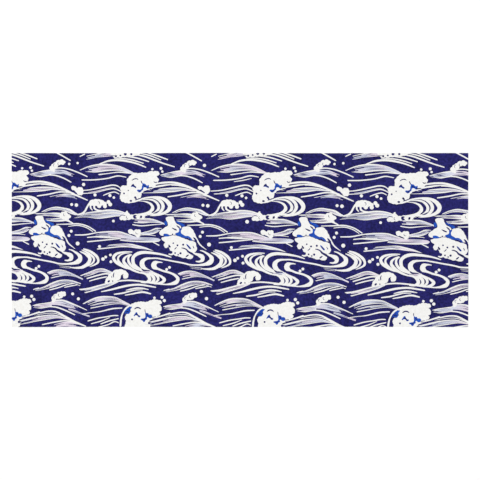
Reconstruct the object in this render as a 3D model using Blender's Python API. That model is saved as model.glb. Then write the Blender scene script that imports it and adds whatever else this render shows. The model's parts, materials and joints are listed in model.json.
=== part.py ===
# A tenugui: one length of plain-woven cotton lying flat, printed face up.
# The long sides are selvedges as they came off the loom. The short ends are
# cut across and left raw, as on the real cloth, so nothing is sewn on.
# X runs along the length, Y across the width and Z up out of the printed face.
# The origin is the middle of the underside, on the surface the cloth lies on.

import math

import bpy

# Driving sizes, in metres
TOWEL_LENGTH = 0.900
TOWEL_WIDTH = 0.343
CLOTH_THICKNESS = 0.001
EDGE_ROUND = 0.0003
CORNER_ROUND = 0.0012

# How finely the outline is followed
SELVEDGE_STEPS = 60
CUT_END_STEPS = 24
CORNER_STEPS = 3

# Each edge touches the full rectangle somewhere and draws in a little between.
# share runs from 0 to 1 along an edge, anticlockwise round the cloth from above.
LOWER_SELVEDGE = (
    {"share": 0.00, "drawn_in": 0.00000},
    {"share": 0.22, "drawn_in": 0.00045},
    {"share": 0.48, "drawn_in": 0.00010},
    {"share": 0.71, "drawn_in": 0.00055},
    {"share": 1.00, "drawn_in": 0.00015},
)
RIGHT_END = (
    {"share": 0.00, "drawn_in": 0.00035},
    {"share": 0.38, "drawn_in": 0.00000},
    {"share": 0.74, "drawn_in": 0.00030},
    {"share": 1.00, "drawn_in": 0.00010},
)
UPPER_SELVEDGE = (
    {"share": 0.00, "drawn_in": 0.00020},
    {"share": 0.30, "drawn_in": 0.00050},
    {"share": 0.55, "drawn_in": 0.00000},
    {"share": 0.82, "drawn_in": 0.00040},
    {"share": 1.00, "drawn_in": 0.00010},
)
LEFT_END = (
    {"share": 0.00, "drawn_in": 0.00000},
    {"share": 0.33, "drawn_in": 0.00030},
    {"share": 0.69, "drawn_in": 0.00005},
    {"share": 1.00, "drawn_in": 0.00040},
)

# Dyed cotton, seen from far enough away that navy and white blend
PLAIN_COLOUR = (0.185, 0.185, 0.285, 1.0)
COTTON_ROUGHNESS = 0.9


def clear_scene():
    for old in list(bpy.data.objects):
        bpy.data.objects.remove(old, do_unlink=True)


def drawn_in_at(edge, share):
    """How far an edge lies inside the full rectangle, eased between the rows of its table."""
    for before, after in zip(edge, edge[1:]):
        if share <= after["share"]:
            across = (share - before["share"]) / (after["share"] - before["share"])
            eased = (1 - math.cos(math.pi * across)) / 2
            return before["drawn_in"] + eased * (after["drawn_in"] - before["drawn_in"])
    return edge[-1]["drawn_in"]


def edge_points(edge, start, end, steps):
    """Points along one edge between its two rounded corners, drawn in towards the cloth."""
    length = math.dist(start, end)
    along = ((end[0] - start[0]) / length, (end[1] - start[1]) / length)
    inward = (-along[1], along[0])
    points = []
    for step in range(steps + 1):
        distance = CORNER_ROUND + (length - 2 * CORNER_ROUND) * step / steps
        depth = drawn_in_at(edge, distance / length)
        points.append((
            start[0] + along[0] * distance + inward[0] * depth,
            start[1] + along[1] * distance + inward[1] * depth,
        ))
    return points


def corner_points(before, after, corner):
    """Points of a rounded corner between the end of one edge and the start of the next."""
    points = []
    for step in range(1, CORNER_STEPS + 1):
        share = step / (CORNER_STEPS + 1)
        near, middle, far = (1 - share) ** 2, 2 * share * (1 - share), share**2
        points.append(tuple(
            near * before[axis] + middle * corner[axis] + far * after[axis]
            for axis in (0, 1)
        ))
    return points


def outline():
    """The cloth's whole outline from above, anticlockwise from its lower left corner."""
    half_length, half_width = TOWEL_LENGTH / 2, TOWEL_WIDTH / 2
    corners = (
        (-half_length, -half_width),
        (half_length, -half_width),
        (half_length, half_width),
        (-half_length, half_width),
    )
    sides = []
    for number, edge in enumerate((LOWER_SELVEDGE, RIGHT_END, UPPER_SELVEDGE, LEFT_END)):
        steps = CUT_END_STEPS if number % 2 else SELVEDGE_STEPS
        sides.append(edge_points(edge, corners[number], corners[(number + 1) % 4], steps))
    points = []
    for number, side in enumerate(sides):
        following = sides[(number + 1) % 4]
        points += side
        points += corner_points(side[-1], following[0], corners[(number + 1) % 4])
    return points


def cotton():
    material = bpy.data.materials.new("dyed_cotton")
    material.use_nodes = True
    shader = material.node_tree.nodes["Principled BSDF"]
    shader.inputs["Base Color"].default_value = PLAIN_COLOUR
    shader.inputs["Roughness"].default_value = COTTON_ROUGHNESS
    shader.inputs["Metallic"].default_value = 0.0
    return material


def towel_cloth(collection):
    """The cloth itself: its flat outline given a thickness, with softly rounded edges."""
    curve = bpy.data.curves.new("towel_cloth", "CURVE")
    curve.dimensions = "2D"
    curve.fill_mode = "BOTH"
    curve.extrude = CLOTH_THICKNESS / 2 - EDGE_ROUND
    curve.bevel_depth = EDGE_ROUND
    curve.bevel_resolution = 1
    curve.offset = -EDGE_ROUND
    points = outline()
    spline = curve.splines.new("POLY")
    spline.points.add(len(points) - 1)
    for point, (x, y) in zip(spline.points, points):
        point.co = (x, y, 0, 1)
    spline.use_cyclic_u = True
    curve.materials.append(cotton())
    cloth = bpy.data.objects.new("towel_cloth", curve)
    cloth.location.z = CLOTH_THICKNESS / 2
    collection.objects.link(cloth)
    weld = cloth.modifiers.new("closed_edges", "WELD")
    weld.merge_threshold = 0.00002
    return cloth


def main():
    clear_scene()
    tenugui = bpy.data.collections.new("tenugui_towel")
    bpy.context.scene.collection.children.link(tenugui)
    towel_cloth(tenugui)


main()
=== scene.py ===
import json
import math
import random

import bpy
import numpy as np
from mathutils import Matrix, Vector, geometry

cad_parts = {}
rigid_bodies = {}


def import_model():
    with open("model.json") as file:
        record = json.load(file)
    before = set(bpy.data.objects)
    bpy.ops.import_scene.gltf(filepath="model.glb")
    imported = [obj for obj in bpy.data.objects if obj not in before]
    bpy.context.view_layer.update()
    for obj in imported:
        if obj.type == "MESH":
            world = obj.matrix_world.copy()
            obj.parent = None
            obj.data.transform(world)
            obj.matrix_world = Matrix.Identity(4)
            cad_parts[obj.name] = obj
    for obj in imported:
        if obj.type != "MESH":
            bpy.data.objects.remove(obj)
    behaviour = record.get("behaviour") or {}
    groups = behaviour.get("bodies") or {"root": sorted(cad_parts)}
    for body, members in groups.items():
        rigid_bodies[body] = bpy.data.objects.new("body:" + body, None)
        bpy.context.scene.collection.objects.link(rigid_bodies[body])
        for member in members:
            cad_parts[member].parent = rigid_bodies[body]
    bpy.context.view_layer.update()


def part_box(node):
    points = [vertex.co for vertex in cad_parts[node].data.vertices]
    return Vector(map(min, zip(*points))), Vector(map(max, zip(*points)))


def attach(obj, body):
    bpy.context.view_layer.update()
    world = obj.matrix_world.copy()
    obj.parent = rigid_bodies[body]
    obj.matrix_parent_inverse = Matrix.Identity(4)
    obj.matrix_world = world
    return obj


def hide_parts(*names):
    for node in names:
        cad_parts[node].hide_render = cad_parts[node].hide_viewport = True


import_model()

# A tenugui printed with rough seas, laid flat with the printed face up.
# The cloth is a thin closed sheet. Each dyed shape is its own patch of faces in it,
# so the pattern has clean edges from any distance, and it goes through to the back.
# Lengths in the chart of the pattern are in millimetres, all else is in metres.

clothLow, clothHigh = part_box("towel_cloth")
mm = 0.001
bpy.ops.object.select_all(action="DESELECT")
print("frame loaded, cloth from", clothLow, "to", clothHigh)

# The waves of one stencil, charted in millimetres from the middle of the cloth,
# x along the cloth and y up. Strokes of a swell are named from its upper edge down:
# W bold, w plain, h fine, s a fuller wash, - a gap. joined says which ends run together.

swells = (
    # under the knob at the upper edge
    dict(upper=((-43, 166), (-20, 171.5), (12, 177)), lower=((-44, 158), (-18, 162.6), (12, 166.6)),
         strokes="whshh", joined="end"),
    # the small wave under the first foamlet
    dict(upper=((-158, 128), (-138, 134), (-114, 138)), lower=((-155, 125.5), (-136, 122.5), (-114, 126.5)),
         strokes="whhw", joined="end"),
    dict(upper=((-116, 138), (-92, 137.5), (-67, 129)), lower=((-116, 128.5), (-92, 128.6), (-71, 124)),
         strokes="hsh", joined="start"),
    # the long back below the fan
    dict(upper=((-58, 137), (-40, 145.5), (-20, 150), (0, 150.5), (22, 147), (40, 139.5), (56, 131)),
         lower=((-44, 134), (-25, 132.5), (0, 136), (25, 136.5), (54.9, 128.9)),
         strokes="WshshsW", joined="end"),
    dict(upper=((-20, 130), (0, 132.5), (22, 135.5), (48, 132.5)),
         lower=((-18, 127), (2, 130), (22, 132.5), (48, 131)), strokes="w", joined="end"),
    # the great swell that leaves the main crest
    dict(upper=((-187, 98), (-172, 105), (-150, 109.5), (-128, 110.5), (-108, 106), (-88, 98)),
         lower=((-192, 92), (-162, 92), (-130, 94.5), (-110, 97.5), (-88.9, 95.8)),
         strokes="W-whw", joined="end"),
    dict(upper=((-119, 84), (-100, 88), (-80, 90.5), (-60, 86)),
         lower=((-104, 83), (-90, 84), (-78, 83), (-62, 79)), strokes="whsh", joined="none"),
    # a wash beside the lower loops
    dict(upper=((66, -63.4), (76, -64.4), (90, -64)), lower=((64, -69.5), (78, -71), (93, -69)),
         strokes="sss", joined="none"),
    # the wave that runs up to the main crest
    dict(upper=((-60, 97.5), (-40, 99), (-12, 105), (10, 109.5), (20, 107.5), (29, 100)),
         lower=((-50, 89.5), (-25, 91.5), (0, 98), (12, 99.5), (22, 96), (29, 92)),
         strokes="W-hw", joined="none"),
    # low waves left of the claws
    dict(upper=((-135, 53.5), (-122, 60), (-105, 64.5), (-90, 62.5), (-76, 59.5), (-66, 53), (-57, 48)),
         lower=((-128, 53), (-116, 57), (-102, 57.5), (-88, 55.5), (-76, 50.5), (-66, 47.5)),
         strokes="Whw", joined="end"),
    dict(upper=((-150, 50.5), (-125, 52), (-104, 52.5), (-84, 50)),
         lower=((-130, 46), (-112, 44.5), (-96, 43.5), (-84, 45)), strokes="whw", joined="end"),
    dict(upper=((-126, 40), (-106, 41.5), (-92, 43), (-82, 42)),
         lower=((-124, 36.5), (-104, 34), (-85, 35.5), (-77, 36.5)), strokes="whW", joined="end"),
    # the long wave in the middle
    dict(upper=((-62, 47), (-45, 52.5), (-20, 56.5), (2, 59.5), (20, 58), (36, 52.5), (46, 46)),
         lower=((-68, 41.5), (-45, 43), (-20, 40), (0, 42.5), (20, 45.5), (42, 44)),
         strokes="Whwhshw", joined="end"),
    dict(upper=((50, 43), (66, 41.5), (86, 41.5), (101, 37), (115, 31)),
         lower=((52, 32), (68, 31.5), (88, 32.5), (104, 32), (114.1, 28.8)), strokes="Whsw", joined="end"),
    dict(upper=((62, 11.5), (72, 14), (85, 17.5), (97, 22.5), (109, 22)),
         lower=((62, 10.5), (74, 8.6), (86, 9), (97, 12), (105, 17)), strokes="Whsw", joined="start"),
    dict(upper=((-27, 13), (-10, 15.5), (8, 16.5), (25, 15.5), (37, 11.5), (54, 5), (66, 2)),
         lower=((-30, 3), (0, 1.5), (30, 1), (64, 0.5)), strokes="Wshshsw", joined="end"),
    dict(upper=((24, 3), (52, 4.5), (78, 3.5), (94, 2.4), (102, 1), (106, -1.4)),
         lower=((24, -3), (42, -5.5), (75, -7), (94, -6.4), (102, -5.2), (105.6, -2.6)),
         strokes="shshW", joined="end"),
    dict(upper=((2, -11.5), (20, -10), (45, -9), (60, -12.5), (76, -17), (92, -24)),
         lower=((-4, -15), (14, -13.5), (32, -15), (50, -18), (74, -20.5)), strokes="Whs", joined="end"),
    # waves round the curled crest
    dict(upper=((-57, -73), (-40, -66), (-22, -59.5), (-9, -59), (8, -66)),
         lower=((-47, -75.5), (-30, -71), (-14, -66), (8, -69)), strokes="Whhw", joined="end"),
    dict(upper=((-123, -66), (-111, -61.5), (-98, -60), (-84, -63), (-66, -71), (-50, -79)),
         lower=((-114, -78), (-100, -75), (-84, -73), (-66, -75), (-51.1, -81.1)),
         strokes="Wshhshw", joined="end"),
    dict(upper=((-150, -99), (-131, -94.5), (-115, -87), (-100, -81.5), (-85, -80), (-70, -82.4),
         (-54, -88.4)),
         lower=((-146, -102.5), (-127, -100), (-108, -95), (-92, -90), (-74, -88), (-56, -93.6)),
         strokes="Wshw", joined="none"),
    # the half-dry strokes between the two lowest waves
    dict(upper=((-80, -137), (-66, -141.5), (-52, -147.5), (-36, -153)),
         lower=((-80, -140.5), (-66, -146), (-52, -151), (-37, -156)), strokes="sh", joined="none"),
    dict(upper=((-60, -99), (-42, -97.5), (-20, -92), (0, -87), (20, -84)),
         lower=((-44, -108.5), (-20, -101.5), (0, -96), (20, -87)), strokes="Whhw", joined="end"),
    # the small wave under the lower foamlet
    dict(upper=((-152, -131), (-139, -127.4), (-113, -124.5)),
         lower=((-150, -135.5), (-136, -137.5), (-113, -134)), strokes="wshw", joined="end"),
    dict(upper=((-115, -123.5), (-98, -121), (-84, -124), (-66, -132), (-60, -136)),
         lower=((-115, -130), (-98, -131.5), (-80, -136), (-66, -139)), strokes="hshs", joined="start"),
    # the great swell that leaves the lower crest
    dict(upper=((-192, -161), (-168, -155), (-148, -150), (-125, -146.5), (-106, -146.5), (-86, -155),
         (-67, -165)),
         lower=((-190, -170), (-168, -168), (-148, -164), (-125, -160), (-100, -157), (-78, -161)),
         strokes="w-Wshshw", joined="end"),
    dict(upper=((-108, -169), (-92, -164.5), (-76, -164), (-58, -168)),
         lower=((-114, -176), (-92, -176), (-76, -176), (-56, -176)), strokes="shsh", joined="none"),
    # the combed wave by the lower crest
    dict(upper=((-52, -129), (-37, -121), (-20, -115), (0, -114), (16, -116.5), (30, -123.5), (46, -132)),
         lower=((-39, -131), (-20, -125.5), (0, -123), (16, -124), (44.9, -134.1)),
         strokes="Whhw", joined="end"),
    dict(upper=((-36, -132), (-16, -127.5), (4, -125.5), (20, -126), (44, -132.5)),
         lower=((-35, -139), (-12, -135), (8, -131.5), (25, -130.5), (43.4, -134.8)),
         strokes="whh-W", joined="end"),
)

# Single strokes: the places each one passes through, then its widths, spread evenly along it
lines = (
    # the fan that opens to the right from the knob
    (((-18, 149.5), (2, 156.5), (25, 158), (55, 152.5), (77, 144)), (2.5, 5, 5.5, 4.5, 3)),
    (((12, 161.5), (35, 161), (52, 158), (72, 152)), (1.6, 3.2, 3.6, 2.4)),
    (((34, 166), (58, 162.8), (83, 155.5)), (2.4, 3.8, 2.6)),
    (((50, 170.5), (72, 166.5), (92, 159.5), (112, 152), (134.5, 145)), (2.4, 4.2, 4.4, 3.6, 3)),
    (((60, 173), (84, 168), (107, 159)), (2.2, 3.4, 2.4)),
    (((74, 175), (96, 168.5), (121, 159.5)), (2.2, 3.8, 3.2)),
    (((-57, 164), (-46, 169.5)), (2.4, 3)),
    (((-109, 174), (-90, 164), (-75, 155.5)), (3.4, 3.6, 3)),
    (((-113, 138), (-98, 141), (-80, 139), (-58, 131.5), (-41, 124)), (3, 3.2, 3.4, 3.2, 2.8)),
    (((-120, 127), (-106, 126), (-90, 121), (-73.5, 112.5)), (3, 3.4, 3.4, 2.8)),
    (((-53, 117.5), (-28, 118), (0, 121.5), (20, 126.5), (37, 124)), (3, 3.2, 3.2, 3.4, 2.4)),
    # the back of the great swell
    (((-172, 109.5), (-150, 113), (-130, 113), (-110, 108), (-88, 98.5), (-65, 87.5), (-40.5, 77)),
     (4, 5, 5.4, 5.2, 5.6, 4.4, 2.8)),
    (((-143, 85), (-120, 88.5), (-95, 93.5), (-68, 91)), (3, 3.6, 3.4, 3)),
    (((-10, 87), (3, 92), (14, 94), (23, 90)), (2.2, 3, 3, 2.2)),
    (((-86, 37.5), (-79, 35.5), (-70, 31)), (4, 4, 3)),
    (((-104, 29), (-80, 29.5), (-58, 30), (-40, 25), (-24, 15)), (2, 3, 3.4, 3.2, 3)),
    (((-80, 25), (-60, 27), (-43, 22.5), (-30, 14.5)), (1.6, 2.4, 2.4, 2)),
    (((49, 29), (66, 26.5), (90, 28.5), (110, 30)), (2.6, 3, 2.4, 1.4)),
    (((-67, 8), (-45, 8.5), (-24, 12.5)), (2.8, 3.4, 3)),
    (((-42, 3), (-20, 5), (5, 5.5)), (2.6, 3, 1.4)),
    (((64, 8), (80, 8.5), (96, 6.5)), (1.6, 2, 1.2)),
    (((-42, -5.5), (-20, -3.5), (0, -1.5), (26, 1)), (3, 3.2, 3, 2)),
    (((90, -6), (103.5, -13)), (2.4, 3)),
    (((-22, -20), (0, -18), (24, -15.5), (46, -16), (66, -19)), (3, 3, 2.8, 2.4, 1.6)),
    (((-91, 11), (-85, 1), (-79, -9), (-66, -19.5)), (3.6, 4, 3.4, 1.2)),
    (((-155, -28.5), (-136, -34)), (3, 2.6)),
    (((-43, -79), (-22, -73), (-5, -69.5), (8, -71)), (3, 3.8, 3.8, 4)),
    (((-38, -84), (-20, -79), (-2, -75.5)), (2.6, 3.4, 3)),
    (((-118, -101), (-100, -96.5), (-84, -91), (-68, -88)), (2.6, 3, 2.8, 2.4)),
    (((-88, -96), (-76, -93.5), (-60, -91)), (2.4, 2.8, 1.6)),
    (((10, -86.5), (25, -84), (42, -83), (65, -85), (90, -88.5), (110, -91), (122, -92)),
     (3, 4, 4, 4.2, 5, 4, 3)),
    (((-14, -105.5), (6, -101.5), (24, -97), (44, -93), (64, -92), (82, -94.6), (97, -97.3)),
     (2.4, 4.4, 5.4, 5.6, 5.2, 4.6, 3.2)),
    (((36, -103), (48, -100.4), (60, -98.7), (72, -99.7), (82, -101.8)), (1.6, 4, 4.4, 3.8, 2)),
    (((12, -110.8), (30, -108.6), (44, -105), (57, -102.4), (70, -102.6)), (3, 4, 4, 2.6, 1.6)),
    (((34, -112.8), (50, -110.2), (62, -107.6), (72, -106.9), (87, -110.5)), (2.4, 3.4, 4.4, 4.8, 3.4)),
    (((112, -104), (124, -100.5)), (2.2, 2.4)),
    (((-105, -121), (-90, -121.5), (-68, -130), (-42, -142)), (2.6, 3.2, 3, 1.8)),
    (((-118, -133.5), (-104, -135), (-88, -140.5), (-66, -151)), (3, 3.6, 3.6, 2.8)),
    (((-160, -151), (-138, -146), (-118, -142.5), (-104, -144), (-86, -154), (-68, -164), (-44, -174)),
     (2.6, 3.2, 3.4, 4, 6, 5, 3)),
    (((-133, -169.5), (-110, -165), (-86, -162), (-68, -165), (-50, -171)), (2.6, 3.2, 3.4, 3.4, 2)),
    (((-52, -149.4), (-36, -147), (-18, -145.5), (10, -139.5), (29, -138.5)), (2, 1.6, 2.8, 3.8, 3)),
    (((-41, -163.5), (-20, -158), (-2, -155.5), (10, -153.5), (21, -153.5)), (2.8, 3.2, 3, 3.2, 2.8)),
    (((-34, -169), (-12, -163.5), (4, -157)), (2.4, 3, 1.6)),
    (((-15, -170), (2, -164), (22, -159.5)), (2.8, 3.4, 3)),
    (((-20, -176), (0, -171.5), (14, -165.5), (22, -168)), (2.4, 2.8, 3, 2.4)),
    # the arm and the claws of the small crest
    (((-61, 48.5), (-52, 51), (-46, 56), (-42, 63.5), (-37, 71), (-30, 75)), (3, 4.6, 5, 4.6, 5, 6)),
    (((-34, 72), (-35, 63), (-31, 57)), (4.6, 4.4, 2.4)),
    (((-26.5, 71), (-27.5, 62), (-21, 57.5), (-12, 57)), (5, 5, 4, 2.4)),
    # the arm of the lower crest
    (((46, -133), (37, -138.5), (29.5, -150), (26.5, -160), (25, -176)), (3.4, 4.6, 4.4, 4.8, 5)),
    (((84, -159.5), (100, -157), (126, -149)), (3, 3.6, 4)),
    (((84, -167), (104, -163), (126, -157.5)), (2.4, 3, 3.4)),
)

# Streams that double back on themselves, broad at the bend and fine along the run, written alike
streams = (
    (((-141, -27.3), (-136, -28.8), (-132, -27), (-130.5, -23)), (2.8, 3.8, 4.8, 4.4)),
    # the curl under the main crest, from its inner stroke out
    (((62, 76.5), (72, 75.8), (80, 73.8), (86.5, 70), (90, 63.5), (88, 57.5), (82.5, 53), (73, 50.3),
     (56, 49)), (1.2, 2, 4.1, 6.7, 9.3, 8.9, 7.2, 5.1, 2.7)),
    (((70, 79), (82, 79.6), (92, 77.5), (99.5, 71.5), (102.3, 64), (99.5, 57), (93, 52), (80, 48.3)),
     (1.2, 3, 4.8, 6.6, 7.6, 6.8, 4.7, 2)),
    (((76, 81.8), (90, 83), (101, 79.5), (108.5, 73), (111, 65), (108, 57.5), (101.5, 52), (88, 47.6)),
     (1.2, 2.9, 5.3, 8, 8.9, 7.7, 4.9, 2.1)),
    (((42, 73.8), (52, 75), (61.6, 77.8), (70.8, 81.4), (84, 83.9), (99, 84.2), (112, 80.5), (121, 73.5),
     (124.8, 66), (123, 59.5), (117, 54.3), (107, 50), (96, 47.8), (84, 46.8)),
     (4.1, 4.8, 4.2, 4.2, 4, 4.2, 6.7, 9.8, 11.4, 10.4, 7.9, 5.7, 3.9, 1.9)),
    # the long double bend below the finned crest
    (((-97, -21.4), (-90, -26.4), (-81, -29.6), (-74, -34), (-74.4, -39.5), (-80, -42.5), (-87.5, -42)),
     (2.4, 4.2, 7, 11.6, 10.3, 4.7, 2.7)),
    (((-79, -20.4), (-72, -22.4), (-66, -26), (-60.4, -30), (-56, -35.4), (-56.4, -41), (-60.5, -45),
     (-68, -47.8), (-80, -49.4), (-90, -49.5), (-100, -48.6), (-108, -46.4), (-118, -44.2), (-128, -42.6),
     (-138, -40.6), (-153, -37.8), (-163, -36)),
     (2.4, 4, 6.4, 11, 13, 8, 4.8, 4.2, 4, 4, 4, 4, 3.8, 3.8, 3.8, 3.8)),
    (((-153, -37.8), (-163, -36), (-173, -36), (-183, -36.6), (-189, -39), (-192.4, -43), (-193.2, -48),
     (-190.9, -53), (-186.4, -56.8), (-180, -58.6)), (3.8, 3.8, 3.8, 4, 5.5, 8.5, 12.4, 12.8, 9.4, 2.4)),
    (((-50, -19.5), (-35, -25), (-22.5, -35), (-19.4, -42), (-20.4, -47), (-27, -51.5), (-37, -55.4)),
     (3.4, 5.6, 6.8, 7.2, 6, 4, 1.6)),
    (((-53, -21.5), (-38, -29), (-28.6, -38), (-28.4, -44), (-33.5, -50), (-42, -54.5)),
     (2.2, 4.4, 5.4, 5.6, 4.4, 1.8)),
    (((-57, -24.5), (-45, -30), (-36.6, -38), (-38, -46), (-44.5, -52.5), (-52, -56.2), (-62, -57.4),
     (-70, -57), (-77, -56.4)), (2.2, 4.8, 8.4, 9.4, 9.2, 8.4, 6, 4.4, 1.2)),
    (((-74, -55.4), (-86, -54.2), (-99, -52.4)), (1, 1.1, 0.7)),
    (((-75, -57.8), (-86, -57), (-97, -55.4)), (0.9, 1, 0.6)),
    # the fan of strokes that runs down into the lower loops
    (((49, -26.2), (38, -25.8), (26, -27.2), (16.4, -30.4), (11.4, -36), (12.2, -41), (16, -46), (23, -51),
     (32, -56), (44, -61)), (2.4, 3.2, 4.4, 6, 7.8, 8, 8.2, 7.2, 5.4, 2.2)),
    (((44, -28.4), (34, -28.8), (26, -31.6), (20.5, -37.5), (21, -43.5), (26, -49.5), (34, -55)),
     (1.4, 2.2, 3.6, 5, 5.8, 5, 1.8)),
    (((47, -30), (39, -33.8), (33, -39), (31.6, -44.6), (35.2, -51), (43, -58), (56, -65), (70, -69.5)),
     (1.6, 4.4, 7, 8.5, 7.6, 5.9, 4.7, 2.1)),
    (((48.5, -31.3), (42.5, -35), (40.8, -42), (44, -50), (52, -57.5), (66, -64)),
     (2.1, 5.5, 6.9, 6.5, 5, 2)),
    (((128, -37), (115, -32.6), (100, -29.6), (85, -27.6), (70, -27), (58, -30.4), (51, -37), (50.3, -45),
     (51.6, -50), (55.6, -55), (62.5, -60), (74, -65.4)),
     (2.4, 3.9, 4.6, 6, 7, 7.9, 8.9, 8.9, 8.9, 8.6, 7.7, 2.1)),
    (((110, -47.4), (103, -46.5), (97, -47.2), (92.6, -50), (92, -53.4), (94.4, -57), (98.8, -59.6),
     (104, -61.4), (110, -64), (125, -68), (135, -73), (140.6, -79.5), (138.6, -86), (128, -90.2),
     (112, -91.8)), (2, 4, 12, 14, 6, 5, 5.2, 5.2, 5.6, 7.5, 9.5, 10.5, 7, 4, 2.4)),
    (((66, -67.6), (77, -71), (83, -77), (83.6, -83), (77, -87), (66, -87.5)), (2, 5.4, 9, 9, 4.9, 2.1)),
    (((78, -69), (88, -72.8), (92.3, -78), (92.3, -83.5), (86, -88)), (1.8, 5.8, 8.3, 7.9, 3.2)),
    (((82, -67), (93, -70.3), (99.6, -75.3), (101.2, -81), (97.5, -86.3), (89, -89)),
     (1.8, 4.3, 6.4, 6.8, 5.3, 2.1)),
    (((80, -60.4), (87, -64.4), (93, -68), (101, -72), (108, -76), (113.5, -82), (110, -86.5), (103, -89),
     (92, -90.3)), (1.6, 2.2, 3.2, 4.4, 6.4, 8.8, 7, 5, 2.1)),
)

# Foam: the rough shape of each cloud, the spacing and depth of its scallops, and curls drawn on it
foam = (
    dict(shape=((10, 165), (20, 163.5), (36, 165), (56, 167.5), (64, 171), (60, 178), (8, 178)),
         pitch=9, depth=1.2, curls=()),
    dict(shape=((-117, 138), (-114, 146), (-106, 152), (-98, 156.5), (-90, 156.5), (-86, 152), (-90, 148),
         (-97, 147.5), (-103, 142), (-107, 138.5), (-109, 133)), pitch=8, depth=1.4,
         curls=((-98, 149, 3, 200), (-107, 146, 3, 160))),
    dict(shape=((26, 104.5), (25.5, 99), (27, 93), (24.5, 87), (24.5, 81), (28, 76), (34, 73.5), (41, 72.3),
         (47, 73.2), (52, 76.5), (56.5, 80.6), (61, 81.6), (65, 83.2), (67, 87), (67.4, 91), (70, 94),
         (75, 98), (86, 100.5), (94, 106), (99, 113), (101.5, 117), (101.8, 121), (98.5, 124.5),
         (98.5, 127), (103, 129.5), (102.5, 134), (98, 136.5), (91, 136), (85, 136.5), (82, 134.5),
         (76, 133), (69, 133.3), (61, 132), (54, 133), (47, 129), (41.5, 123.5), (38.5, 118), (39, 111.5),
         (37, 107), (32, 107.5)), pitch=6.5, depth=0.9, curls=()),
    dict(shape=((-38, 73), (-32, 78), (-22, 79.5), (-12, 77.5), (-7, 73.5), (-9, 69), (-15, 66.5),
         (-22, 66), (-30, 67), (-37, 67)), pitch=9, depth=0.9, curls=((-20, 72, 3.2, 20),)),
    dict(shape=((-95, 51), (-88, 54.5), (-82, 52), (-80, 48.5), (-75, 47), (-76, 42.5), (-83, 39),
         (-92, 40), (-97, 45)), pitch=7, depth=1.3, curls=((-87, 48.5, 2.6, 200),)),
    dict(shape=((23, 42), (28, 46), (34, 48), (34.5, 53), (39, 56), (42, 51), (48, 48.5), (60, 50),
         (76, 49), (79, 43), (62, 41.6), (50, 40.6), (44, 39.6), (36, 38.4), (27, 38.4)),
         pitch=7.5, depth=1.3, curls=((40, 44, 3, 200),)),
    dict(shape=((40.5, 15), (45, 20), (51, 16.5), (58, 19), (65.5, 17), (65.5, 9), (62, 3.5), (57, 5),
         (53, 9), (45, 10.5)), pitch=7.5, depth=1.1, curls=((59, 13, 3, 230),)),
    dict(shape=((-146.5, 42), (-143, 45.5), (-137, 46.5), (-131, 44.5), (-129.5, 40), (-126, 33),
         (-120, 29.5), (-115.5, 25), (-118.5, 21), (-124, 12), (-140, 9.5), (-152, 8.5), (-158, 11),
         (-159, 14.5), (-156.5, 18.5), (-151.5, 22), (-148, 25), (-143, 27), (-142, 31), (-142.5, 35)),
         pitch=12, depth=0.6, curls=()),
    dict(shape=((-118, 13), (-115, 23), (-106, 26.5), (-96.5, 24), (-90, 14), (-86.5, 5), (-90, -1),
         (-99, 3), (-110, 9)), pitch=10, depth=0.9, curls=()),
    dict(shape=((-128, 9), (-116, 5), (-100, -1), (-89, -4), (-86.5, -11), (-84.9, -18.3), (-88, -23),
         (-95.5, -29.4), (-92.3, -31.3), (-93.7, -35), (-99.2, -37.7), (-106.6, -35.4), (-114, -35),
         (-120.4, -32.2), (-128.8, -30.3), (-133, -24.5), (-133.5, -22), (-137.5, -20.2), (-139.4, -16.5),
         (-141, -12.5), (-143.5, -14.8), (-146.8, -15.2), (-149.6, -12.5), (-149.8, -9), (-148, -6),
         (-148.6, -3), (-151.8, -1.5), (-153.6, 1), (-153.2, 5), (-140, 7.5)), pitch=8, depth=0.7,
         curls=()),
    dict(shape=((5, -68.5), (8.2, -67), (12, -63.6), (20, -61.3), (29, -61.6), (36.5, -65), (41, -71.3),
         (40, -76.6), (36, -79.4), (32, -78.8), (30.5, -75), (29, -73), (26, -76.5), (24.6, -80), (20, -82),
         (14, -85.5), (4, -88), (-5, -88.5), (-5, -83), (-2.5, -78), (0.5, -74), (2.5, -71)),
         pitch=9, depth=0.8, curls=()),
    dict(shape=((-113, -120), (-111, -113), (-104, -108.5), (-97, -105), (-87, -105), (-85, -111),
         (-91, -114.5), (-96, -118), (-103, -117.5), (-106, -122), (-110, -126)), pitch=8, depth=1.3,
         curls=((-97, -111, 3, 200), (-106, -115, 3, 160))),
    dict(shape=((45.5, -138), (46, -132), (52, -129), (59, -127), (67, -126), (75, -127), (82, -125.5),
         (88, -123), (95, -121.8), (101, -123), (106.5, -124.5), (108, -128.5), (103.8, -132),
         (106.5, -135), (108, -139.5), (107, -143.5), (103, -147), (105.5, -150), (103, -153.5), (95, -157),
         (86, -164), (80, -180), (36, -180), (35, -172), (36.5, -165), (34.3, -158), (37, -152),
         (43, -149.5), (46, -145)), pitch=6.5, depth=0.9, curls=()),
)

# Drops of spray, and the rounded ends of the claws: x, y and radius
spray = (
    (89.5, 140.5, 2.6), (106.8, 142, 3.2), (109.5, 135.7, 2.6), (-26, 88, 3.4), (4, 87, 3.4), (12, 83, 2.8),
    (-73, 68.5, 3.2), (-63.5, 67.5, 3.8),
    (-74, 15.5, 3.2), (-78.5, 7, 3.2), (-61, -9, 4.2), (-17, -15, 3.2), (-10, -40, 3.8), (-4.5, -36, 3),
    (5, -32, 3), (6, -45.5, 3.2), (-139, -54, 3), (-144.5, -58, 3),
    (-149, -119.5, 3.4), (-153.5, -113, 3.4), (93.6, -118.4, 2.8), (-144, -7, 4.6),
    (-17.5, 66, 4.6), (-6, 65.5, 4.3), (-6.5, 70.5, 4.4), (4.5, 69.3, 4.3), (1, 74, 4.2), (34, -76, 3.6),
)

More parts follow.
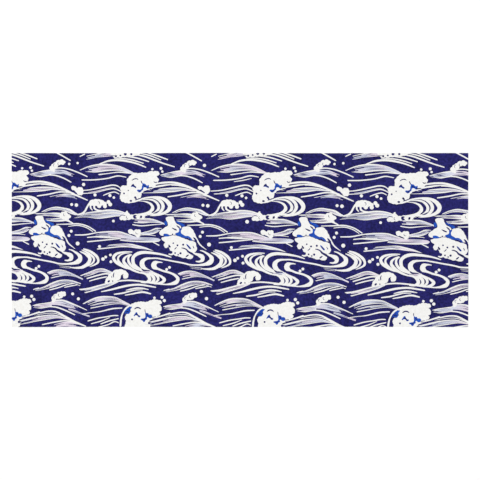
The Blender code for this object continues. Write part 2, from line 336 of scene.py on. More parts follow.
# Blue patches on the foam: the corners of soft shapes
blueMarks = (
    ((68.4, 112.4), (71, 111.8), (74.5, 111.2), (76.8, 109), (79.2, 107.4), (82, 108.8), (82.6, 105.4),
     (81.8, 102), (79.2, 101), (76.2, 103.4), (73, 103.8), (71.2, 102.2), (70.6, 99), (68.4, 97.4),
     (66.4, 94.6), (63, 93.6), (60.4, 95.2), (58.2, 97.6), (60.4, 99.4), (63.4, 99.2), (66.2, 99.8),
     (68, 102.2), (68.3, 106), (69.4, 109)),
    ((-127.4, 13), (-125, 9.4), (-119.5, 7.5), (-113, 4.8), (-106.6, 4.3), (-101, 3.8), (-98.3, 1),
     (-95, -1.7), (-94.1, 0.6), (-98.3, 5.7), (-102.9, 8), (-107.5, 8), (-112.1, 10.7), (-115.8, 13.5),
     (-116.3, 18.6), (-114, 22.3), (-117.7, 23.2), (-120, 22.3), (-120, 18.1), (-121.4, 15.4)),
    ((-150.5, 12), (-146, 12.5), (-142, 11.5), (-138.5, 9), (-139, 7.5), (-143, 6.8), (-148, 7),
     (-150.5, 8)),
    ((-126.5, 38), (-123.2, 37), (-117.7, 34.8), (-110.3, 31), (-108.6, 28.3), (-111.7, 25.8),
     (-115.8, 27.8), (-120.4, 31.5), (-125.5, 34.8)),
    ((-148.5, 37), (-145.5, 37.6), (-143.6, 34), (-143.6, 30), (-146, 28.4), (-149, 32)),
    ((-105.8, -8.6), (-103, -9), (-99.5, -12.6), (-96.2, -17), (-98.8, -17.8), (-102.6, -14.2)),
    ((48.6, -136.4), (44.6, -136.2), (40.4, -138.2), (37.4, -141.4), (34.4, -143.4), (32.6, -147),
     (34.4, -149.8), (37.4, -148.4), (39.4, -150.6), (43.4, -149.6), (44.6, -146), (44.2, -143),
     (46.4, -139.8)),
    ((75.2, -147.6), (78.4, -149.2), (81, -149), (82.2, -151.8), (85.8, -151.8), (88.8, -153.4),
     (89.2, -157), (87, -159.2), (84, -159.6), (81.4, -158), (79.4, -157), (78.4, -159), (79, -161.2),
     (76, -163), (74.2, -166.2), (71.6, -166.8), (69.4, -164), (66.4, -162.8), (66.2, -160.6), (70, -159.8),
     (74, -159), (75.4, -156), (75.2, -152)),
    ((51.8, -154.6), (53.8, -151), (56.6, -147.2), (58.8, -147.8), (60, -151), (62.8, -153.6),
     (65.2, -154.2), (64.8, -156.8), (61.6, -157.2), (59, -154.2), (56, -153.4), (53.4, -155)),
    ((46, 105), (48.5, 109), (51.5, 111), (53.5, 107.5), (57, 105), (56, 102.3), (53, 103.8), (49.5, 105)),
)

# Navy strokes over the foam, written as the single strokes are
ink = (
    (((46.8, 105.5), (50.5, 108.6), (53.5, 105.5), (56.5, 103.4)), (3.2, 4.4, 3, 3.2)),
    (((48, 117.6), (53, 120.6), (58, 121), (61, 119.2)), (1.6, 2.6, 2.6, 1.8)),
    (((66.6, 117.4), (67.6, 114.4), (69, 111.4)), (2.2, 2.8, 2.4)),
    (((81.5, 103), (88.5, 103.8)), (2, 1.6)),
    (((60.6, 97), (64, 96), (66.4, 98), (69.4, 100.4)), (2.6, 3.4, 2, 1.6)),
    (((70.6, 108.4), (73.6, 106.6), (77.6, 105.4)), (1.8, 2.6, 1.4)),
    (((92, 116), (94.6, 113.8), (99.4, 114.4)), (1.6, 2.4, 2)),
    (((72, 94.5), (85, 96.3), (100, 100.6), (112, 105), (128, 108)), (4, 4.2, 3.8, 3, 1.6)),
    (((72, 90.5), (88, 91.5), (104, 92.5)), (1.6, 1.6, 0.8)),
    (((78.6, 102.8), (83, 102.6), (90, 103.6)), (3, 2.6, 2)),
    (((53.6, 85.4), (55.2, 83), (57.6, 80.6)), (6.4, 5, 3.4)),
    (((43.6, 76.8), (48.8, 76.4)), (5.2, 4.8)),
    (((-12, 67), (-12, 61)), (1.6, 3)),
    (((-1, 70), (-0.5, 64)), (1.4, 2.4)),
    (((-30.5, 65), (-29.5, 61)), (1.6, 1.6)),
    (((24, 46), (29, 48), (35.5, 46.5)), (1.2, 2, 1.2)),
    (((57.5, 47.5), (52.8, 45.6), (53.5, 43.2), (58, 41.8)), (3, 6, 6, 3)),
    (((64.6, 45.2), (68.6, 43.8)), (7, 7)),
    (((74, 44.2), (84, 44.2), (97, 43)), (6.6, 6.4, 5.6)),
    (((91, 51.6), (97, 53), (103.5, 56.6)), (1.6, 3.8, 2)),
    (((88, 53.6), (92, 56), (96, 59.5)), (1.4, 2.8, 2)),
    (((-134.3, 24), (-127, 20.3), (-124.1, 19.5)), (1.8, 4, 3)),
    (((-125, 28.8), (-121, 25.5), (-118.6, 22.8)), (2, 3.8, 3.2)),
    (((-93.2, -11.4), (-90.4, -16.5)), (1.6, 2.2)),
    (((-115.4, -15.6), (-110.3, -16.5), (-105.7, -18.8), (-102, -22.9), (-97.4, -25.7), (-91.8, -28.5)),
     (2.2, 3, 3.6, 5, 5.6, 6.6)),
    (((-140.8, -9), (-137.5, -15)), (2.6, 6)),
    (((-91.8, 5.4), (-88, 1), (-85, -4)), (3, 5, 5)),
    (((-106.8, -33.4), (-103, -30.4), (-101, -29)), (3.4, 4.4, 2.4)),
    (((-104.8, -10), (-100.6, -14), (-98, -17)), (1.4, 3, 2)),
    (((-125, -13.7), (-127, -16.5), (-129.7, -18.3)), (1.8, 2.2, 1.8)),
    (((67.4, -59.6), (72, -63), (78, -63.4), (85, -64)), (3, 4.8, 3.6, 2)),
    (((86, -61.4), (93, -64.2), (100, -66.6)), (2, 3, 2.4)),
    (((12.6, -67), (11, -72), (11.6, -77)), (1.6, 2.8, 2.2)),
    (((31, -70.8), (28, -74), (27.4, -79)), (1.6, 4.6, 5)),
    (((7.6, -74), (8, -78)), (1.4, 2)),
    (((-0.6, -86.4), (3.8, -83)), (4.4, 5)),
    (((8.8, -84.5), (10.6, -84.5)), (5, 5)),
    (((34, -145), (31.3, -152), (30, -160), (30.8, -176)), (2, 4, 4.4, 4.2)),
    (((53, -141), (57.5, -138.2), (62, -138.2), (66.5, -141)), (2, 3.6, 3.6, 2)),
    (((55, -152), (58.4, -151.4), (61, -154.4), (64, -156)), (2, 3.4, 2.6, 2.4)),
    (((74.4, -141.4), (75.2, -147.5)), (1.6, 2.2)),
    (((88, -158), (96.5, -156.5)), (2.2, 1.4)),
    (((77, -150.6), (80, -153.4), (79, -156)), (1.6, 2.4, 1.6)),
    (((69.4, -162.4), (73.4, -162), (76.4, -160)), (1.6, 2.6, 1.6)),
    (((35, -147.4), (39.6, -145.4), (42.8, -147.4)), (2, 2.6, 2)),
    (((83, -165.5), (96, -161.5), (110, -156.8), (126, -152)), (3.6, 4, 3.4, 2)),
    (((88, -171), (104, -167.5), (122, -162.5)), (2.4, 2.6, 1.6)),
    (((-8, 166.5), (4, 167.5), (14, 166.5)), (0.8, 1.2, 2)),
)

# Navy dots over the foam: x, y and radius
inkDots = (
    (16, 166, 2.2), (25, 167.5, 1.8), (35, 170.5, 3), (47, 170.5, 2.4), (32.5, 91.5, 1.8), (41, 97.5, 1.2),
    (-131.5, -6.3, 1.6), (-123.2, -10.5, 1.9), (-112.1, -9.2, 2.1), (-127.8, -25.7, 1.7),
    (-121.8, -28.9, 1.5), (-117.2, -26.2, 2.2), (48.5, -161.5, 1.9), (83, -169, 2.6), (-132.9, 11.2, 1.3),
)

# Two stencils were laid turn about along the cloth. They differ in a few small things.
stencils = (
    dict(foam=(dict(shape=((-83.5, 103.5), (-80, 106), (-75.5, 105.5), (-73, 103.5), (-69, 106.5),
                           (-63, 107), (-60, 103), (-60, 96), (-63, 91.5), (-68, 91), (-70.5, 95),
                           (-75, 98.5), (-80, 99.5)),
                    pitch=8, depth=0.9, curls=()),),
         spray=((-70, 147, 3.6), (14, 36, 4), (-76, -101.5, 3.2), (-66, -115.5, 3.6)),
         lines=((((-12, 115), (6, 117.5), (23, 121.3)), (1.6, 2.6, 1.6)),)),
    dict(foam=(dict(shape=((-74, 102), (-71, 105), (-66, 104.5), (-62.5, 101), (-58, 103), (-52, 102),
                           (-49.5, 97), (-50.5, 91), (-54, 87), (-60, 88.5), (-64, 93), (-66.5, 96.5),
                           (-71, 97.5)),
                    pitch=8, depth=0.9, curls=()),),
         spray=((-49, 108.5, 3.6), (-78, 149, 2.6), (-61, 151, 2.6), (11, 36, 3), (-71, -109, 3.2),
                (-59.5, -119, 3.4)),
         lines=()),
)

# Brush strokes. Each comes back as one closed outline in the chart's millimetres.

brush = dict(
    # for each kind of stroke, with - for a gap:
    share={"W": 2.6, "w": 2.0, "h": 1.6, "s": 1.7, "-": 1.8},        # how much of a swell's height it takes
    uneven={"W": 0.12, "w": 0.15, "h": 0.4, "s": 0.3, "-": 0.2},      # how far that strays
    fill={"W": 0.8, "w": 0.7, "h": 0.58, "s": 0.78},                # how much of that it covers where free
    swing={"W": 0.16, "w": 0.34, "h": 0.7, "s": 0.45},               # how much that comes and goes on the way
    ragged={"W": 0.04, "w": 0.1, "h": 0.34, "s": 0.16},               # how far back a free end may start
    press=0.74,         # share of the charted widths that a single stroke keeps
    dropSize=0.92,
    curlWidths=(0.7, 1.3, 1.3, 0.7),
    scallops=(0.7, 1.3),    # least and most size of a foam cloud's scallops, of their pitch
    tip=1.6,            # how long the round end of a swell's stroke is, mm
    waves=(5, 12),      # how often it swings from end to end, in radians
    meeting=1.02,       # share of its room that it fills where strokes run together
    turn=8,             # an outline has a point for every so many degrees
    reach=11,           # and for every so many mm
    guideSteps=16,      # steps drawn from one guide point to the next
    swellSteps=80,      # even steps along the edges of a swell
    lineSteps=160,      # and along a single stroke
)
white, navy, blue, stained = 1, 0, 2, 3


def between(p, q, share):
    return (p[0] + (q[0] - p[0]) * share, p[1] + (q[1] - p[1]) * share)


def curveThrough(guides, steps):
    # a smooth line through the guide points (centripetal Catmull-Rom), in equal steps
    held = [between(guides[0], guides[1], -1), *guides, between(guides[-1], guides[-2], -1)]
    knots = [0.0]
    for a, b in zip(held, held[1:]):
        knots.append(knots[-1] + math.dist(a, b) ** 0.5)
    fine = []
    for i in range(1, len(held) - 2):
        p0, p1, p2, p3 = held[i - 1:i + 3]
        t0, t1, t2, t3 = knots[i - 1:i + 3]
        for s in range(brush["guideSteps"]):
            t = t1 + (t2 - t1) * s / brush["guideSteps"]
            a1 = between(p0, p1, (t - t0) / (t1 - t0))
            a2 = between(p1, p2, (t - t1) / (t2 - t1))
            a3 = between(p2, p3, (t - t2) / (t3 - t2))
            b1 = between(a1, a2, (t - t0) / (t2 - t0))
            b2 = between(a2, a3, (t - t1) / (t3 - t1))
            fine.append(between(b1, b2, (t - t1) / (t2 - t1)))
    fine.append(held[-2])
    gone = [0.0]
    for a, b in zip(fine, fine[1:]):
        gone.append(gone[-1] + math.dist(a, b))
    even, j = [], 0
    for step in range(steps + 1):
        wanted = gone[-1] * step / steps
        while j < len(fine) - 2 and gone[j + 1] < wanted:
            j += 1
        even.append(between(fine[j], fine[j + 1], (wanted - gone[j]) / (gone[j + 1] - gone[j])))
    return even


def along(line, share):
    # the point, or the number, at a share of the way along a list
    place = min(max(share, 0), 1) * (len(line) - 1)
    i = min(int(place), len(line) - 2)
    if isinstance(line[i], tuple):
        return between(line[i], line[i + 1], place - i)
    eased = (1 - math.cos(math.pi * (place - i))) / 2
    return line[i] + (line[i + 1] - line[i]) * eased


def stations(*matched):
    # the shares of the way along matched lines at which an outline needs a point
    shares, needed, count = [0.0], 0.0, len(matched[0]) - 1
    for i in range(1, count):
        steps = []
        for line in matched:
            a, b, c = line[i - 1:i + 2]
            bend = math.atan2(c[1] - b[1], c[0] - b[0]) - math.atan2(b[1] - a[1], b[0] - a[0])
            bend = abs((bend + math.pi) % (2 * math.pi) - math.pi)
            steps.append(math.degrees(bend) / brush["turn"] + math.dist(a, b) / brush["reach"])
        needed += max(steps)
        if needed >= 1:
            shares.append(i / count)
            needed = 0.0
    return shares + [1.0]


def rounded(distance, radius):
    # the half circle at the end of a stroke, 0 at its tip and 1 past its radius
    return math.sqrt(max(0.0, 1 - (1 - min(1.0, distance / radius)) ** 2))


def strokesBetween(row, seed):
    # the strokes of a swell, side by side between its two edges
    chance = random.Random(seed)
    upper, lower = (curveThrough(row[edge], brush["swellSteps"]) for edge in ("upper", "lower"))
    length = sum(math.dist(a, b) for a, b in zip(upper, upper[1:]))
    kinds = row["strokes"]
    joinedStart, joinedEnd = row["joined"] == "start", row["joined"] == "end"
    heights = [brush["share"][k] * (1 + brush["uneven"][k] * chance.uniform(-1, 1)) for k in kinds]
    tip, meeting = brush["tip"] / length, brush["meeting"]
    shapes, done = [], 0.0
    for number, kind in enumerate(kinds):
        middle = (done + heights[number] / 2) / sum(heights)
        half = heights[number] / 2 / sum(heights)
        done += heights[number]
        if kind == "-":
            continue
        inner = 0 < number < len(kinds) - 1
        back = [brush["ragged"][kind] * chance.random() * inner for end in (0, 1)]
        first = 0.0 if joinedStart else back[0]
        last = 1.0 if joinedEnd else 1 - back[1]
        swing = brush["swing"][kind] * chance.uniform(0.6, 1)
        waves, phase = chance.uniform(*brush["waves"]), chance.uniform(0, 6.28)
        shares = [first + tip * s for s in (0, 0.15, 0.5, 1)] if not joinedStart else [0.0]
        ending = [last - tip * s for s in (1, 0.5, 0.15, 0)] if not joinedEnd else [1.0]
        shares += [s for s in stations(upper, lower) if shares[-1] + tip < s < ending[0] - tip] + ending
        over, under = [], []
        for share in shares:
            joined = share if joinedEnd else 1 - share if joinedStart else 0
            fill = brush["fill"][kind] * (1 + swing * math.sin(phase + share * waves))
            fill = min(meeting, fill + (meeting - fill) * min(1, joined * 1.15) ** 5)
            if not joinedStart:
                fill *= rounded(share - first, tip)
            if not joinedEnd:
                fill *= rounded(last - share, tip)
            top, bottom = along(upper, share), along(lower, share)
            over.append(between(top, bottom, middle - half * fill))
            under.append(between(top, bottom, middle + half * fill))
        shapes.append((stained if kind in "hs" else white, over + under[::-1]))
    return shapes


def brushLine(route, widths):
    # one stroke of the brush; its widths are spread evenly along the route
    line = curveThrough(route, brush["lineSteps"])
    length = sum(math.dist(a, b) for a, b in zip(line, line[1:]))
    tips = [min(width / 2, length / 3) / length for width in (widths[0], widths[-1])]
    shares = [tips[0] * s for s in (0, 0.1, 0.4, 1)]
    ending = [1 - tips[1] * s for s in (1, 0.4, 0.1, 0)]
    shares += [s for s in stations(line) if shares[-1] * 1.2 < s < 1 - (1 - ending[0]) * 1.2] + ending
    over, under = [], []
    for share in shares:
        x, y = along(line, share)
        before, after = along(line, share - 0.01), along(line, share + 0.01)
        side = brush["press"] * along(widths, share) / 2 / math.dist(before, after)
        side *= rounded(share, tips[0]) * rounded(1 - share, tips[1])
        across = ((after[1] - before[1]) * side, (before[0] - after[0]) * side)
        over.append((x - across[0], y - across[1]))
        under.append((x + across[0], y + across[1]))
    return over + under[-2:0:-1]


def drop(x, y, radius, sides=14):
    angles = [2 * math.pi * i / sides for i in range(sides)]
    return [(x + radius * math.cos(a), y + radius * math.sin(a)) for a in angles]


def softShape(corners, steps=5):
    # a closed shape that runs smoothly through its corners
    shape, count = [], len(corners)
    for i in range(count):
        p0, p1, p2, p3 = (corners[(i + n) % count] for n in (-1, 0, 1, 2))
        for s in range(steps):
            t = s / steps
            shape.append(tuple(
                b + 0.5 * ((c - a) * t + (2 * a - 5 * b + 4 * c - d) * t**2 + (3 * b - a - 3 * c + d) * t**3)
                for a, b, c, d in zip(p0, p1, p2, p3)))
    return shape


def foamCloud(row, seed):
    # a cloud of foam: its rough shape edged with scallops of uneven size
    chance = random.Random(seed)
    edge = softShape(row["shape"], 8)
    if sum(a[0] * b[1] - b[0] * a[1] for a, b in zip(edge, edge[1:] + edge[:1])) < 0:
        edge.reverse()
    edge.append(edge[0])
    gone = [0.0]
    for a, b in zip(edge, edge[1:]):
        gone.append(gone[-1] + math.dist(a, b))
    sizes = [chance.uniform(*brush["scallops"]) for _ in range(max(4, round(gone[-1] / row["pitch"])))]
    shape, start, j = [], 0.0, 0
    for size in sizes:
        span = gone[-1] * size / sum(sizes)
        for bulge in (0.0, 0.18, 0.4, 0.6, 0.82):
            wanted = start + span * bulge
            while j < len(edge) - 2 and gone[j + 1] < wanted:
                j += 1
            a, b = edge[j], edge[j + 1]
            x, y = between(a, b, (wanted - gone[j]) / (gone[j + 1] - gone[j]))
            out = row["depth"] * size * (math.sin(math.pi * bulge) ** 0.6 - 0.35) / math.dist(a, b)
            shape.append((x + (b[1] - a[1]) * out, y - (b[0] - a[0]) * out))
        start += span
    return shape


def foamCurl(x, y, radius, facing):
    # a thin open curl drawn on the foam
    arc = [math.radians(facing + turn) for turn in (-80, -30, 30, 80)]
    route = [(x + radius * math.cos(a), y + radius * math.sin(a)) for a in arc]
    return brushLine(route, brush["curlWidths"])


def oneRepeat(stencil):
    # the white shapes of one repeat, and the marks that are painted over all of them
    shapes = []
    for seed, row in enumerate(swells):
        shapes += strokesBetween(row, seed)
    shapes += [(white, brushLine(*row)) for row in lines + streams + stencil["lines"]]
    clouds = foam + stencil["foam"]
    shapes += [(white, foamCloud(row, seed)) for seed, row in enumerate(clouds)]
    shapes += [(white, drop(x, y, radius * brush["dropSize"])) for x, y, radius in spray + stencil["spray"]]
    marks = [(navy, foamCurl(*curl)) for row in clouds for curl in row["curls"]]
    marks += [(blue, softShape(corners)) for corners in blueMarks]
    marks += [(navy, brushLine(*row)) for row in ink]
    marks += [(navy, drop(*row, sides=10)) for row in inkDots]
    return shapes, marks


printing = dict(
    pitch=263.0,        # from one repeat to the next, mm
    growth=0.00004,     # the pitch grows this much for each mm along the cloth
    lift=0.0125,        # the right half came out this much taller, a little each side of the middle
    liftMiddle=-30.0,
    liftReach=110.0,
    fall=-0.0076,       # and each repeat lies a little lower
    copies=range(-2, 3),
)


def printedAt(x, y, copy):
    # where a point of the chart lands in one of the copies along the cloth, in mm
    far = x + printing["pitch"] * copy
    landed = far + printing["growth"] * (far * far - x * x)
    pulled = [math.tanh((place - printing["liftMiddle"]) / printing["liftReach"]) for place in (landed, x)]
    return landed, y * (1 + printing["lift"] * (pulled[0] - pulled[1])) + printing["fall"] * (landed - x)


def wholePrint():
    # the painted shapes of all copies that reach the cloth, in metres
    painted = []
    repeats = [oneRepeat(stencil) for stencil in stencils]
    for layer in (0, 1):
        for copy in printing["copies"]:
            for dye, shape in repeats[copy % 2][layer]:
                placed = np.array([printedAt(x, y, copy) for x, y in shape]) * mm
                if (placed.max(axis=0) > clothLow[:2]).all() and (placed.min(axis=0) < clothHigh[:2]).all():
                    painted.append((dye, placed))
    print("pattern drawn:", len(painted), "shapes")
    return painted

# The cloth

cloth = dict(
    thickness=0.00042,      # plain tenugui cotton
    liftOff=0.00004,        # the lowest places lie this far above the surface
    swell=0.00030,          # how high the cloth rises where it doesn't quite lie down
    lattice=0.009,          # spacing of the points that carry that rise
    level=0.35,             # how far up that rise a place without waves lies
    ripples=(               # strength, then how two sines run along x and y and where they start
        (0.5, (9.1, 14.0, 0.6), (-5.2, 17.3, 1.9)),
        (0.3, (31.0, -8.0, 2.2), (0.0, 23.0, 0.4)),
    ),
    weldWithin=1e-7,        # points of the pattern closer than this become one
    threadPitch=0.00058,
)


def rise(x, y):
    # a slow unevenness, as in cotton that was folded and smoothed out by hand
    height = cloth["level"]
    for strength, *sines in cloth["ripples"]:
        one, other = (math.sin(alongX * x + alongY * y + start) for alongX, alongY, start in sines)
        height += strength * one * other
    return cloth["liftOff"] + cloth["swell"] * max(0.0, height) / 1.2


def clothOutline():
    # the middle of the CAD sheet's edge, point by point round the cloth
    node = next(o for o in bpy.data.objects if o.name == "towel_cloth")
    middle = (clothLow[2] + clothHigh[2]) / 2
    near = (clothHigh[2] - clothLow[2]) * 0.3
    places = {(round(v.co.x, 6), round(v.co.y, 6)) for v in node.data.vertices if abs(v.co.z - middle) < near}
    return sorted(places, key=lambda p: math.atan2(p[1], p[0]))


def inside(polygon, points):
    # which points a polygon winds round
    x, y = points[:, :1], points[:, 1:]
    start, end = polygon, np.roll(polygon, -1, axis=0)
    side = (end[:, 0] - start[:, 0]) * (y - start[:, 1]) - (x - start[:, 0]) * (end[:, 1] - start[:, 1])
    upward = (start[:, 1] <= y) & (end[:, 1] > y) & (side > 0)
    downward = (start[:, 1] > y) & (end[:, 1] <= y) & (side < 0)
    return upward.sum(axis=1) != downward.sum(axis=1)


def dyesAt(points, painted):
    # the dye of the last shape painted over each point
    dyes = np.zeros(len(points), dtype=int)
    order = np.argsort(points[:, 0])
    across = points[order, 0]
    for dye, shape in painted:
        low, high = shape.min(axis=0), shape.max(axis=0)
        first, last = np.searchsorted(across, (low[0], high[0]))
        near = order[first:last]
        near = near[(points[near, 1] > low[1]) & (points[near, 1] < high[1])]
        if len(near):
            dyes[near[inside(shape, points[near])]] = dye
    return dyes


def weaveCloth(painted):
    outline = clothOutline()
    places = [Vector(p) for p in outline]
    edges = [(i, (i + 1) % len(outline)) for i in range(len(outline))]
    for dye, shape in painted:
        first = len(places)
        places += [Vector(p) for p in shape]
        edges += [(first + i, first + (i + 1) % len(shape)) for i in range(len(shape))]
    step = cloth["lattice"]
    rows, columns = int(clothHigh[1] / step), int(clothHigh[0] / step)
    for row in range(-rows, rows + 1):
        for column in range(-columns, columns + 1):
            places.append(Vector(((column + 0.5 * (row % 2)) * step, row * step)))
    found = geometry.delaunay_2d_cdt(places, edges, [], 0, cloth["weldWithin"], False)
    flat = np.array([tuple(p) for p in found[0]])
    faces = np.array([tuple(f) for f in found[2]])
    middles = flat[faces].mean(axis=1)
    kept = inside(np.array(outline), middles)
    faces, middles = faces[kept], middles[kept]
    used, faces = np.unique(faces, return_inverse=True)
    flat, faces = flat[used], faces.reshape(-1, 3)
    dyes = dyesAt(middles, painted)

    mesh = bpy.data.meshes.new("tenugui_cloth")
    mesh.from_pydata([(x, y, rise(x, y)) for x, y in flat], [], faces.tolist())
    for name, number in (("navy", navy), ("blue", blue), ("stained", stained)):
        layer = mesh.attributes.new(name, "FLOAT", "FACE")
        layer.data.foreach_set("value", (dyes == number).astype(float))
    piece = bpy.data.objects.new("tenugui_cloth", mesh)
    bpy.context.scene.collection.objects.link(piece)
    bpy.context.view_layer.objects.active = piece
    piece.select_set(True)
    wall = piece.modifiers.new("wall", "SOLIDIFY")
    wall.thickness = cloth["thickness"]
    wall.offset = 1
    bpy.ops.object.modifier_apply(modifier="wall")
    piece.select_set(False)
    print("cloth woven:", len(piece.data.polygons), "faces")
    return piece

# Materials

def fromScreen(red, green, blue):
    # a colour as seen on screen, 0 to 255, as the linear one that the shader takes
    shares = [value / 255 for value in (red, green, blue)]
    return tuple(s / 12.92 if s <= 0.04045 else ((s + 0.055) / 1.055) ** 2.4 for s in shares) + (1.0,)


class Wire:
    # one output socket of a material; sums on it add their own Math nodes
    def __init__(self, tree, socket=None):
        self.tree = tree
        self.socket = socket

    def node(self, kind, settings=None, inputs=None, output=0):
        made = self.tree.nodes.new(kind)
        for name, value in (settings or {}).items():
            setattr(made, name, value)
        for name, value in (inputs or {}).items():
            if isinstance(value, Wire):
                self.tree.links.new(value.socket, made.inputs[name])
            else:
                made.inputs[name].default_value = value
        return Wire(self.tree, made.outputs[output])

    def other(self, output):
        return Wire(self.tree, self.socket.node.outputs[output])

    def maths(self, operation, first, second=0.0, third=0.0):
        return self.node("ShaderNodeMath", {"operation": operation}, {0: first, 1: second, 2: third})

    def __add__(self, value):
        return self.maths("ADD", self, value)

    __radd__ = __add__

    def __sub__(self, value):
        return self.maths("SUBTRACT", self, value)

    def __rsub__(self, value):
        return self.maths("SUBTRACT", value, self)

    def __mul__(self, value):
        return self.maths("MULTIPLY", self, value)

    __rmul__ = __mul__

    def __truediv__(self, value):
        return self.maths("DIVIDE", self, value)

    def __mod__(self, value):
        return self.maths("FLOORED_MODULO", self, value)

    def floor(self):
        return self.maths("FLOOR", self)

    def arch(self):
        # 0 at each whole number and 1 halfway between
        return self.maths("ABSOLUTE", self.maths("SINE", self * math.pi))

    def between(self, low, high):
        # 0 below low, 1 above high, smooth in between
        settings = {"interpolation_type": "SMOOTHSTEP"}
        return self.node("ShaderNodeMapRange", settings, {"Value": self, "From Min": low, "From Max": high})

    def mix(self, first, second):
        # numbers, self from 0 to 1 going from first to second
        settings = {"data_type": "FLOAT"}
        return self.node("ShaderNodeMix", settings, {"Factor": self, 2: first, 3: second})

    def blend(self, first, second):
        # the same for colours
        return self.node("ShaderNodeMix", {"data_type": "RGBA"}, {"Factor": self, 6: first, 7: second}, 2)

    def noise(self, scale, detail=2.0, stretch=(1, 1, 1)):
        placed = self.node("ShaderNodeMapping", None, {"Vector": self, "Scale": stretch})
        return self.node("ShaderNodeTexNoise", None, {"Vector": placed, "Scale": scale, "Detail": detail})


def startMaterial(name):
    material = bpy.data.materials.new(name)
    material.use_nodes = True
    shader = material.node_tree.nodes["Principled BSDF"]
    place = Wire(material.node_tree).node("ShaderNodeTexCoord", output="Object")
    return material, shader, place


def feed(shader, name, wire):
    wire.tree.links.new(wire.socket, shader.inputs[name])


cotton = dict(
    white=fromScreen(252, 252, 250),
    whiteDull=fromScreen(246, 245, 241),
    navy=fromScreen(43, 41, 117),
    navyDeep=fromScreen(23, 22, 72),
    blue=fromScreen(38, 96, 200),
    blueDeep=fromScreen(30, 64, 166),
    stainWarm=fromScreen(234, 222, 236),    # the thin strokes took up a little of the dye beside them
    stainCool=fromScreen(218, 222, 238),
    roughness=0.92,
    sheen=0.03,
    gloss=0.12,
    reliefDepth=0.00016,
    wanderScale=260,        # the scales of the noises: threads that wander,
    slubScale=150,          # thick and thin places in a thread,
    cloudScale=22,          # slow and quick mottling of the dye,
    mottleScale=210,
    speckleScale=900,       # and single fibres
    selvedge=0.0028,        # the closer woven band along the two long edges
)


def dyedCotton():
    material, shader, place = startMaterial("dyed_cotton_cloth")
    pitch = cloth["threadPitch"]
    sideways = place.node("ShaderNodeSeparateXYZ", None, {"Vector": place})
    along, across = sideways.other("X"), sideways.other("Y")
    wander = (place.noise(cotton["wanderScale"], 1.0) - 0.5) * 0.35
    column = along / pitch + wander
    row = across / pitch + wander
    # plain weave: each crossing has the warp on top or the weft, turn about
    warpOnTop = (column.floor() + row.floor()) % 2.0
    warp = row.arch() * (0.45 + 0.55 * column.arch())
    weft = column.arch() * (0.45 + 0.55 * row.arch())
    thread = warpOnTop.mix(weft, warp)
    slubs = [place.noise(cotton["slubScale"], 2.0, stretch) for stretch in ((6, 0.25, 1), (0.25, 6, 1))]
    slub = warpOnTop.mix(*slubs)

    cloudy = place.noise(cotton["cloudScale"], 3.0).between(0.35, 0.65)
    mottled = place.noise(cotton["mottleScale"], 2.0).between(0.32, 0.68)
    speckle = place.noise(cotton["speckleScale"], 2.0)
    navyHere, blueHere, stainedHere = (
        place.node("ShaderNodeAttribute", {"attribute_name": name}, output="Fac")
        for name in ("navy", "blue", "stained"))
    navyTone = (cloudy * 0.3 + mottled * 0.7).blend(cotton["navyDeep"], cotton["navy"])
    blueTone = (cloudy * 0.4 + mottled * 0.6).blend(cotton["blueDeep"], cotton["blue"])
    stainTone = place.noise(14, 1.0).between(0.42, 0.58).blend(cotton["stainWarm"], cotton["stainCool"])
    whiteTone = mottled.blend(cotton["whiteDull"], cotton["white"])
    colour = stainedHere.blend(whiteTone, stainTone)
    colour = navyHere.blend(colour, navyTone)
    colour = blueHere.blend(colour, blueTone)
    # painted shade and light of the weave: gaps between threads are painted darker, thick raised places in a
    # thread painted a little lighter, single fibres vary at random
    shade = 0.88 + 0.1 * thread + 0.1 * (slub - 0.5) + 0.06 * (speckle - 0.5)
    shade = place.node("ShaderNodeCombineColor", None, {"Red": shade, "Green": shade, "Blue": shade})
    full = place.node("ShaderNodeMix", {"data_type": "RGBA", "blend_type": "MULTIPLY"},
                     {"Factor": 1.0, 6: colour, 7: shade}, 2)
    feed(shader, "Base Color", full)

    edge = place.maths("ABSOLUTE", across)
    half = clothHigh[1]
    selvedge = edge.between(half - cotton["selvedge"], half - cotton["selvedge"] * 0.7)
    height = thread * (1.0 - 0.35 * selvedge) + 0.5 * slub + 0.15 * speckle
    bumpInputs = {"Strength": 0.6, "Distance": cotton["reliefDepth"], "Height": height}
    relief = place.node("ShaderNodeBump", None, bumpInputs)
    feed(shader, "Normal", relief)
    feed(shader, "Roughness", cotton["roughness"] - 0.08 * thread + 0.06 * speckle)
    shader.inputs["Sheen Weight"].default_value = cotton["sheen"]
    shader.inputs["Sheen Roughness"].default_value = 0.6
    shader.inputs["Specular IOR Level"].default_value = cotton["gloss"]
    return material


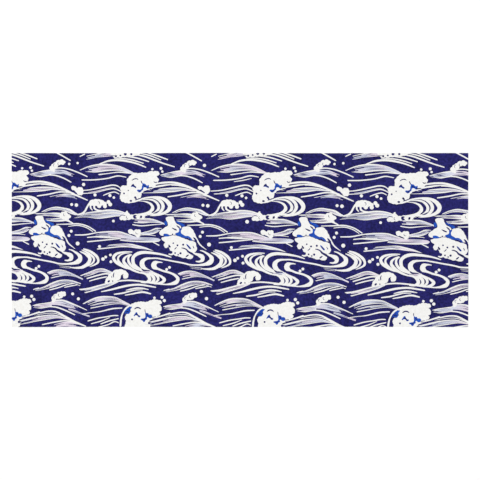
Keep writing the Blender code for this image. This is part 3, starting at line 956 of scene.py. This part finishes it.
studio = dict(
    floorSize=16.0,
    floorDrop=0.00005,      # so that the cloth's underside never meets the floor's face
    floorColour=fromScreen(254, 254, 254),
    worldStrength=0.86,
    lampPower=38.0,
    lampSize=3.0,
    lampPlace=(-1.0, 1.3, 3.2),
    lens=135.0,
    sensor=36.0,
    frameWidth=0.9457,      # how much of the floor the picture spans
)


def floorMaterial():
    material, shader, place = startMaterial("pale_floor")
    grain = place.noise(60, 3.0)
    feed(shader, "Base Color", grain.blend(fromScreen(252, 252, 252), studio["floorColour"]))
    feed(shader, "Roughness", 0.75 + 0.1 * grain)
    return material

# The stage

def layFloor():
    under = (0, 0, clothLow[2] - studio["floorDrop"])
    bpy.ops.mesh.primitive_plane_add(size=studio["floorSize"], location=under)
    floor = bpy.context.object
    floor.name = "studio_floor"
    floor.data.transform(floor.matrix_world)
    floor.location = (0, 0, 0)
    floor.data.materials.append(floorMaterial())
    floor.select_set(False)


def hangLights():
    world = bpy.data.worlds.new("studio")
    world.use_nodes = True
    sky = world.node_tree.nodes["Background"]
    sky.inputs["Color"].default_value = (1, 1, 1, 1)
    sky.inputs["Strength"].default_value = studio["worldStrength"]
    bpy.context.scene.world = world
    lamp = bpy.data.lights.new("softbox", "AREA")
    lamp.energy = studio["lampPower"]
    lamp.size = studio["lampSize"]
    holder = bpy.data.objects.new("softbox", lamp)
    holder.location = studio["lampPlace"]
    holder.rotation_euler = (-Vector(studio["lampPlace"])).to_track_quat("-Z", "Y").to_euler()
    bpy.context.scene.collection.objects.link(holder)


def placeCamera():
    camera = bpy.data.cameras.new("camera")
    camera.lens = studio["lens"]
    camera.sensor_width = studio["sensor"]
    holder = bpy.data.objects.new("camera", camera)
    distance = studio["frameWidth"] * camera.lens / camera.sensor_width
    holder.location = (0, 0, clothHigh[2] + distance)
    bpy.context.scene.collection.objects.link(holder)
    bpy.context.scene.camera = holder


placeCamera()
layFloor()
hangLights()
bpy.context.scene.view_settings.view_transform = "Standard"
print("studio ready")

painted = wholePrint()
towel = weaveCloth(painted)
towel.data.materials.clear()
towel.data.materials.append(dyedCotton())
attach(towel, "root")
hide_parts("towel_cloth")
print("cloth dressed")
